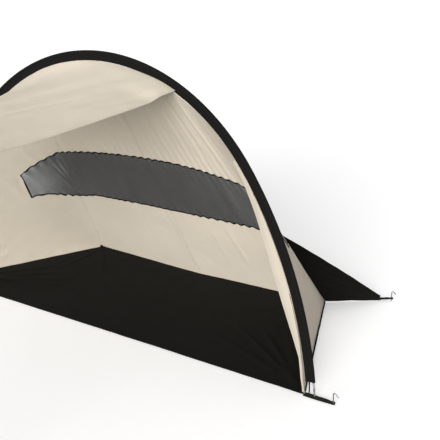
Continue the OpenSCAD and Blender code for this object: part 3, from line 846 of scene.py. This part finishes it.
def window_grid(cols, rows):
    """The window's points, from its left end to its right end and from its lower edge up."""
    k = np.linspace(0, 1, rows)[:, None]
    a = mix(-1 - mix(*WRAP[LEFT], k), 1 + mix(*WRAP[RIGHT], k), np.linspace(0, 1, cols)[None])
    w = mix(window_low(a), window_high(a), k)
    p = skin(a, w)
    return pushed(p, window_dent(p, a, w), INSIDE)


def window():
    """The window's mesh, and the binding sewn round it with puckers."""
    p = window_grid(440, 36)
    shape = Shape()
    shape.sheet(p, INSIDE, thickness=0.0008)
    shape.make("window_mesh", [finish["mesh"]], "window_mesh", "window")
    n = grid_normals(p, INSIDE)
    edge = np.concatenate([p[0, :-1], p[:-1, -1], p[-1, :0:-1], p[:0:-1, 0]])
    normal = np.concatenate([n[0, :-1], n[:-1, -1], n[-1, :0:-1], n[:0:-1, 0]])
    across = np.cross(tangents(edge, closed=True), normal)
    width = BINDING_WIDTH * (1 + 0.18 * ripple(edge, 0.05, 31))
    band = Shape()
    band.strip(edge, across, width, 0.0034, closed=True)
    band.make("window_edge_binding", [finish["binding"]], "sleeve_fabric", "window_binding")


def seams():
    """Felled seams down the middle of the rear wall and down both hips, clear of the window."""
    for name, a in (("rear", 0.0), ("left", -1.0), ("right", 1.0)):
        shape = Shape()
        below, above = float(window_low(a)) - 0.008, float(window_high(a)) + 0.012
        for low, high in ((0.005, below), (above, 0.998)):
            w = np.linspace(low, high, spans((high - low) * WALL_RUN))
            cells = np.linspace(a - 0.02, a + 0.02, 3)
            p = wall_grid(cells[None], w[:, None])
            shape.strip(p[:, 1], p[:, 2] - p[:, 0], SEAM_WIDTH, CLOTH + SEAM_LIFT)
        shape.make(f"felled_seam_{name}", [finish["canopy_seam"]], "canopy_fabric")


def sleeve():
    """The pole's sleeve: a tube on the arch's outer edge and a flat tail, gathered a little."""
    t = np.linspace(-SLEEVE_END_T, SLEEVE_END_T, 620)
    around = 24
    tail_cells = 6
    tail_start = 0.018
    wrap = math.radians(158)
    turn = np.linspace(-wrap, wrap, around)
    round_x = TUBE_RADIUS - TUBE_RADIUS * np.cos(turn)
    round_y = TUBE_RADIUS * np.sin(turn)
    tail = np.linspace(tail_start, SLEEVE_WIDTH, tail_cells)
    taper = np.linspace(0.0022, 0.0013, tail_cells)
    inset = np.concatenate([tail[::-1], round_x, tail])[None]
    back = np.concatenate([-taper[::-1], round_y, taper])[None]
    place = arch(t[:, None], inset, back)
    loose = np.clip(inset / SLEEVE_WIDTH, 0, 1)
    gather = 0.0011 * ripple(place, 0.09, 41) + 0.0007 * ripple(place, 0.035, 42)
    back = back + gather * loose * (1 - loose**6)
    swell = 1 + 0.045 * ripple(vec(t * 2.6, 0, 0), 0.16, 43)[:, None]
    back = np.where(inset < 2 * TUBE_RADIUS, back * swell, back)
    outer = arch(t[:, None], inset, back)
    bore = TUBE_RADIUS - 0.0010
    angle = np.arctan2(back[0], TUBE_RADIUS - inset[0])
    inner = arch(t[:, None], TUBE_RADIUS - bore * np.cos(angle)[None], bore * np.sin(angle)[None])
    rings = np.concatenate([outer, inner[::-1]])
    u = np.concatenate([travel(outer[:, 0]), travel(outer[:, 0])[::-1]])[:, None]
    v = np.concatenate([[0], np.cumsum(np.hypot(np.diff(inset[0]), np.diff(back[0])))])[None]
    u, v = np.broadcast_arrays(u, v)
    shape = Shape()
    shape.sweep(rings, np.stack([u, v], -1), round_trip=True)
    shape.make("sleeve_cloth", [finish["sleeve"]], "sleeve_fabric", "pole_sleeve")


def awning_dent(p):
    """Folds that fan forward from the crown's ends, and slack between the front corners."""
    rng = np.random.default_rng(9)
    dent = 0.004 * ripple(p, 0.5, 51) + 0.0009 * ripple(p, 0.13, 52)
    for side in (LEFT, RIGHT):
        for i, k in enumerate(np.linspace(0.3, 0.95, 6)):
            start = awning_point(side * (0.95 - 0.09 * i), 0.02)
            end = awning_point(side * (0.8 - 0.28 * i), k)
            dent = dent + crease(p, start, end, rng.uniform(0.03, 0.06), rng.uniform(0.002, 0.005))
        corner = awning_point(side * 0.96, 0.97)
        for u, k in ((0.5, 0.72), (0.1, 0.86), (0.78, 0.6)):
            dent = dent + crease(p, corner, awning_point(side * u, k), 0.03, 0.004)
    return dent


def awning():
    """The awning, with hems on three sides and a patch under each eyelet."""
    edge = 0.985
    u = np.linspace(-edge, edge, spans(1.0))[None]
    k = np.linspace(1, 0, spans(AWNING_REACH))[:, None]
    p = awning_point(u, k)
    p = pushed(p, awning_dent(p), UNDER_AWNING)
    shape = Shape()
    shape.sheet(p, UNDER_AWNING)
    fold = CLOTH + HEM_LIFT
    inward = HEM_WIDTH / 2
    for path, step in ((p[:, 0], p[:, 1] - p[:, 0]), (p[:, -1], p[:, -2] - p[:, -1]),
                       (p[0], p[1] - p[0])):
        shape.strip(path + unit(step) * inward, step, HEM_WIDTH, fold, 1)
    for side in (LEFT, RIGHT):
        patch_u = side * np.linspace(0.80, 0.985, 12)[None]
        patch_k = np.linspace(0.93, 1.0, 12)[:, None]
        patch = awning_point(patch_u, patch_k)
        patch = pushed(patch, awning_dent(patch), UNDER_AWNING)
        shape.sheet(patch - vec(0, 0, 0.0016), UNDER_AWNING, 0.0016, number=1)
    shape.make("awning_cloth", [finish["canopy"], finish["canopy_seam"]], "canopy_fabric", "awning")


def front_hem(name, side):
    """The loose hem ahead of the arch, widest low down the leg and narrow again at its foot."""
    first, last, foot = 0.28, 0.88, 0.985
    q = np.linspace(first, foot, 110)[:, None]
    k = np.linspace(0, 1, 14)[None]
    bulge = hump(np.clip((q - first) / (last - first), 0, 1) ** 1.3)
    narrow = mix(0.15, 1, ease((foot - q) / 0.05))
    inward = 0.002 * narrow + 0.0125 * bulge
    forward = 0.006 * narrow + 0.036 * bulge
    root = arch(side * (HIP_T + (1 - HIP_T) * q), side_inset(q), CLOTH_BACK)
    reach = vec(-side * inward, -forward, 0)
    p = between(root, root + reach, k + 0 * q)
    roll = 0.0012 * hump(k) * bulge * (1 + 0.5 * ripple(p, 0.2, 61))
    p = p + grid_normals(p, INSIDE) * (roll + 0.0010 * ripple(p, 0.12, 62) * bulge)[..., None]
    shape = Shape()
    shape.sheet(p, INSIDE)
    shape.strip(p[:, -1], p[:, -2] - p[:, -1], SEAM_WIDTH, CLOTH + 0.0004, 1)
    shape.make(name + "_cloth", [finish["canopy"], finish["canopy_seam"]], "canopy_fabric", name)


def floor_lift(p):
    """How far the floor stands off the ground: wrinkles that fan from its four corners."""
    rng = np.random.default_rng(17)
    lift = 0.0010 * (1 + ripple(p, 0.3, 71)) + 0.0004 * ripple(p, 0.08, 72)
    for side in (LEFT, RIGHT):
        rear, front = floor_point(side * 0.97, 0.97), floor_point(side * 0.96, 0.06)
        for u, k in ((0.72, 0.5), (0.5, 0.6), (0.25, 0.85)):
            end = floor_point(side * (u + rng.uniform(-0.05, 0.05)), k)
            lift = lift + crease(p, rear, end, rng.uniform(0.02, 0.035), rng.uniform(0.002, 0.004))
        for u, k in ((0.80, 0.62), (0.68, 0.52), (0.55, 0.46), (0.42, 0.32)):
            end = floor_point(side * u, k)
            lift = lift + crease(p, front, end, rng.uniform(0.018, 0.03), rng.uniform(0.004, 0.008))
    return np.maximum(lift, 0)


def floor_grid():
    """The floor's points, from its left to its right side and from its front edge back."""
    cell = 0.012
    u = np.linspace(-1, 1, spans(2 * FLOOR_FRONT_HALF, cell))[None]
    k = np.linspace(0, 1, spans(FLOOR_DEPTH, cell))[:, None]
    p = floor_point(u, k)
    p[..., 2] += floor_lift(p)
    return p


def floor(p):
    """The sewn-in floor, with a hem along its front edge."""
    shape = Shape()
    shape.sheet(p, BELOW, thickness=0.0016)
    front = p[0] + vec(0, HEM_WIDTH / 2, 0.0002)
    shape.strip(front, vec(0, 1, 0) + 0 * front, HEM_WIDTH, 0.003, 1)
    shape.make("floor_cloth", [finish["floor"], finish["floor_hem"]], "floor_fabric", "floor")


def floor_binding(p):
    """The binding that stands up round the outside of the floor's side and rear edges."""
    height, middle_z, gap = 0.0125, 0.0068, 0.0018
    centre, level = [0, 0.45, 0], [1, 1, 0]
    edge = np.concatenate([p[:, -1], p[-1, -2::-1], p[::-1, 0][1:]])[2:-2]
    out = unit((edge - centre) * level)
    wave = 0.0012 * ripple(edge, 0.09, 75)
    path = edge * level + out * (gap + 0.4 * wave)[:, None] + vec(0, 0, middle_z)
    shape = Shape()
    shape.strip(path, vec(0, 0, 1) + 0 * path, height + wave, 0.0016)
    shape.make("floor_edge_binding", [finish["floor"]], "floor_fabric", "floor_binding")


def wing(name, side):
    """A storm wing: taut between the hip seam, the rear corner and its peg."""
    out = np.array([math.cos(WING_ANGLE), math.sin(WING_ANGLE), 0])
    top = skin(1.0, WING_TOP) + WING_STAND_OFF * out
    foot = np.array([FLOOR_REAR_HALF, FLOOR_DEPTH, 0.010]) + WING_STAND_OFF * out
    tip = np.array([FLOOR_REAR_HALF, FLOOR_DEPTH, 0.008]) + WING_LENGTH * out
    r = np.linspace(0, 1, 44)[:, None]
    k = 0.975 * np.linspace(0, 1, 34)[None]
    base = between(foot, top, r + 0 * k)
    p = between(base, tip + vec(0, 0, 0.006 * r), k)
    p = p + vec(0, 0, 0.008 * hump(k) * r**2)
    across = np.cross(top - foot, out)
    sway = 0.006 * hump(k) * hump(r) + 0.0014 * ripple(p, 0.12, 81)
    for head in (0.35, 0.62, 0.85):
        sway = sway + crease(p, tip, between(foot, top, head), 0.012, 0.0032)
    p = p + unit(across) * sway[..., None] * np.minimum(1, 6 * (1 - k))[..., None]
    p[..., 0] *= side
    shape = Shape()
    centre = np.array([side * 0.2, 0.9, 0.2])
    shape.sheet(p, centre)
    shape.strip(p[-1], p[-2] - p[-1], 0.012, CLOTH + 0.0018, 1)
    shape.strip(p[0], p[1] - p[0], 0.010, CLOTH + 0.0018, 1)
    shape.strip(p[:, 0], p[:, 1] - p[:, 0], 0.012, CLOTH + 0.0018, 1)
    shape.make(name + "_cloth", [finish["floor"], finish["floor_hem"]], "floor_fabric", name)


# ---- Webbing and cords ----


def folded_tab(name, start, end, width, base_z):
    """Webbing from start to end and back under itself, with a loop round the peg at its end."""
    start, end = np.array(start), np.array(end)
    along = unit(end - start)
    across = np.array([-along[1], along[0], 0.0])
    length = np.linalg.norm(end - start)
    loop = 0.0075
    reach = length - loop * 0.2
    s = np.linspace(0, reach, 26)
    rise = 0.0016 * np.abs(np.sin(s / length * 2.2 * np.pi)) + 0.0012
    shape = Shape()
    top = start + along * s[:, None] + vec(0, 0, base_z + 0.0018 + rise)
    under = start + along * s[:, None] * 0.97 + vec(0, 0, base_z)
    pinch = width * (1 - 0.28 * np.clip((s / reach - 0.55) / 0.45, 0, 1))
    shape.strip(top, across + 0 * top, pinch, WEBBING * 0.8)
    shape.strip(under, across + 0 * under, pinch * 0.97, WEBBING * 0.8)
    ring = np.linspace(0, 2 * np.pi, 40, endpoint=False)
    circle = end + along * (loop * np.cos(ring))[:, None] + across * (loop * np.sin(ring))[:, None]
    circle = circle + vec(0, 0, base_z + 0.0018 + 0.0010 * np.sin(2 * ring))
    shape.strip(circle, vec(0, 0, 1) + 0 * circle, 0.0060, WEBBING, closed=True)
    for at in (0.34, 0.72):
        bar = start + along * (at * length) + across * np.linspace(-0.4, 0.4, 8)[:, None] * width
        shape.cord(bar + vec(0, 0, base_z + 0.0048), 0.0012)
    shape.make(name + "_webbing", [finish["webbing"]], "webbing", name)


def corner_strap(name, side):
    """The thin strap from the end of the sleeve down to the corner's webbing."""
    low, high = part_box(name)
    x = (low.x + high.x) / 2
    z = np.linspace(low.z, high.z + 0.012, 24)
    k = np.linspace(0, 1, 24)
    path = vec(x + side * 0.0022 * hump(k), 0.0006 * np.sin(9 * k), z)
    shape = Shape()
    shape.strip(path, vec(0, 1, 0) + 0 * path, high.y - low.y, 0.0014)
    shape.make(name + "_webbing", [finish["webbing"]], "webbing", name)


def middle_of(node):
    """The middle of a node's box."""
    low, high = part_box(node)
    return (low + high) / 2


def knot(centre, size):
    """The path of a small overhand knot."""
    k = np.linspace(0, 2 * np.pi, 48, endpoint=False)
    x, y, z = np.sin(k) + 2 * np.sin(2 * k), np.cos(k) - 2 * np.cos(2 * k), -np.sin(3 * k)
    return centre + vec(x, y, z) * size / 3


def guy_line(name, side):
    """A braided cord from a loop on the prop's spike down to a loop on its peg, with its tail."""
    word = "right" if side > 0 else "left"
    cord = 0.0015
    loop_r, peg_loop_r, tail_gap = 0.014, 0.009, 0.007
    tail_low, tail_length = 0.012, 0.420
    low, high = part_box(name)
    spike = middle_of(f"prop_spike_{word}")
    peg_out = Vector((high.x if side > 0 else low.x, low.y, 0))
    top_ring = vec(spike.x, spike.y, high.z - cord)
    low_ring = vec(peg_out.x - side * (peg_loop_r + cord), peg_out.y + peg_loop_r + cord, low.z + cord)
    heading = unit((top_ring - low_ring) * [1, 1, 0])
    start = low_ring + heading * peg_loop_r
    end = top_ring - heading * loop_r
    direction = unit(end - start)
    beside = unit(np.cross([0, 0, 1.0], heading)) * side
    far = tail_low + tail_length
    tail = start + beside * tail_gap + direction * np.linspace(tail_low, far, 90)[:, None]
    middle = start + beside * tail_gap / 2 + direction * tail_low
    swing = np.linspace(np.pi, 0, 14)
    arc = beside * np.cos(swing)[:, None] - direction * np.sin(swing)[:, None]
    ring = np.linspace(0, 2 * np.pi, 36, endpoint=False)
    flat_ring = vec(np.cos(ring), np.sin(ring), 0)
    shape = Shape()
    shape.cord(between(start, end, np.linspace(0, 1, 240)), cord)
    shape.cord(np.concatenate([middle + arc * tail_gap / 2, tail[1:]]), cord)
    shape.cord(top_ring + flat_ring * loop_r, cord, closed=True)
    shape.cord(low_ring + flat_ring * peg_loop_r, cord, closed=True)
    for place in (tail[-1], start + direction * 0.006, end - direction * 0.008):
        shape.cord(knot(place, 0.0042), cord * 0.9, closed=True)
    shape.make(name + "_cord", [finish["guy"]], "guy_cord", name)


# ---- Stage ----


def ground():
    """A pale ground much larger than the view. It throws less light back than it shows, so that
    the underside of the cloth stays in shade."""
    half = 150.0
    seen_white, bounced_white, glow = 0.84, 0.5, 0.25
    mesh = bpy.data.meshes.new("ground")
    corners = [(-half, -half, 0), (half, -half, 0), (half, half, 0), (-half, half, 0)]
    mesh.from_pydata(corners, [], [(0, 1, 2, 3)])
    plane = bpy.data.objects.new("ground", mesh)
    bpy.context.scene.collection.objects.link(plane)
    plane.location.z = -0.0008
    f = Finish("ground_paint")
    white = (1.0, 1.0, 1.0, 1.0)
    seen = f.node("ShaderNodeLightPath").outputs["Is Camera Ray"]
    f.set(Base_Color=f.tint(seen, shade(white, bounced_white), shade(white, seen_white)))
    f.set(Roughness=1.0, Specular_IOR_Level=0.0, Emission_Color=white)
    f.set(Emission_Strength=f.calc("MULTIPLY", seen, glow))
    mesh.materials.append(f.material)


def aim(thing, direction):
    """Turns a light or a camera to look along a direction."""
    thing.rotation_mode = "QUATERNION"
    thing.rotation_quaternion = Vector(direction).to_track_quat("-Z", "Y")
    bpy.context.scene.collection.objects.link(thing)


def lights():
    """White surroundings, and a soft key light from the front, low and a little to the right."""
    world = bpy.data.worlds.new("studio")
    world.use_nodes = True
    background = world.node_tree.nodes["Background"].inputs
    background["Color"].default_value = (1, 1, 1, 1)
    background["Strength"].default_value = 0.64
    bpy.context.scene.world = world
    data = bpy.data.lights.new("key", "SUN")
    data.energy = 4.8
    data.angle = math.radians(34)
    key = bpy.data.objects.new("key", data)
    aim(key, (-0.28, 0.92, -0.22))


def camera():
    """The camera stands in front, to the right and above, and looks down at the shelter."""
    data = bpy.data.cameras.new("camera")
    data.lens, data.sensor_width = 67.2, 36.0
    data.clip_start, data.clip_end = 0.05, 500
    eye = bpy.data.objects.new("camera", data)
    eye.location = (2.470, -2.626, 1.690)
    azimuth, pitch = math.radians(34.0), math.radians(17.9)
    level = math.cos(pitch)
    aim(eye, (-math.sin(azimuth) * level, math.cos(azimuth) * level, -math.sin(pitch)))
    bpy.context.scene.camera = eye
    bpy.context.scene.view_settings.view_transform = "Standard"


# ---- The whole shelter ----


def below_window(u):
    """The upper edge of the rear wall's lower half."""
    return window_low(u) - SEAM_GAP / ARCH_HEIGHT


def above_window(u):
    """The lower edge of the rear wall's upper half."""
    return window_high(u) + SEAM_GAP / ARCH_HEIGHT


def shelter():
    """Every soft piece of the shelter."""
    for word, side in SIDES.items():
        rear_wall(f"rear_wall_lower_{word}", side, np.zeros_like, below_window)
        rear_wall(f"rear_wall_upper_{word}", side, above_window, np.ones_like)
        side_wall(f"side_wall_{word}", side)
        front_hem(f"front_hem_{word}", side)
        wing(f"wing_{word}", side)
        corner_strap(f"corner_strap_{word}", side)
        guy_line(f"guy_line_{word}", side)
        tab_low, tab_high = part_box(f"corner_tab_{word}")
        outer = tab_high.x - TAB_WIDTH / 2 if side > 0 else tab_low.x + TAB_WIDTH / 2
        folded_tab(f"corner_tab_{word}", (side * (FLOOR_FRONT_HALF - 0.002), 0, 0), (outer, 0, 0),
                   TAB_WIDTH, TAB_Z)
        out = np.array([side * math.cos(WING_ANGLE), math.sin(WING_ANGLE), 0])
        corner = np.array([side * FLOOR_REAR_HALF, FLOOR_DEPTH, 0.0])
        start, end = corner + (WING_LENGTH - 0.024) * out, corner + (WING_LENGTH + 0.048) * out
        folded_tab(f"wing_tab_{word}", start, end, WING_TAB_WIDTH, WING_TAB_Z)
    rear_y = FLOOR_DEPTH - REAR_BOW
    folded_tab("rear_tab", (0, rear_y - 0.002, 0), (0, rear_y + 0.052, 0), TAB_WIDTH, TAB_Z)
    window()
    seams()
    sleeve()
    awning()
    ground_sheet = floor_grid()
    floor(ground_sheet)
    floor_binding(ground_sheet)


paint_cad_nodes()
shelter()
ground()
lights()
camera()
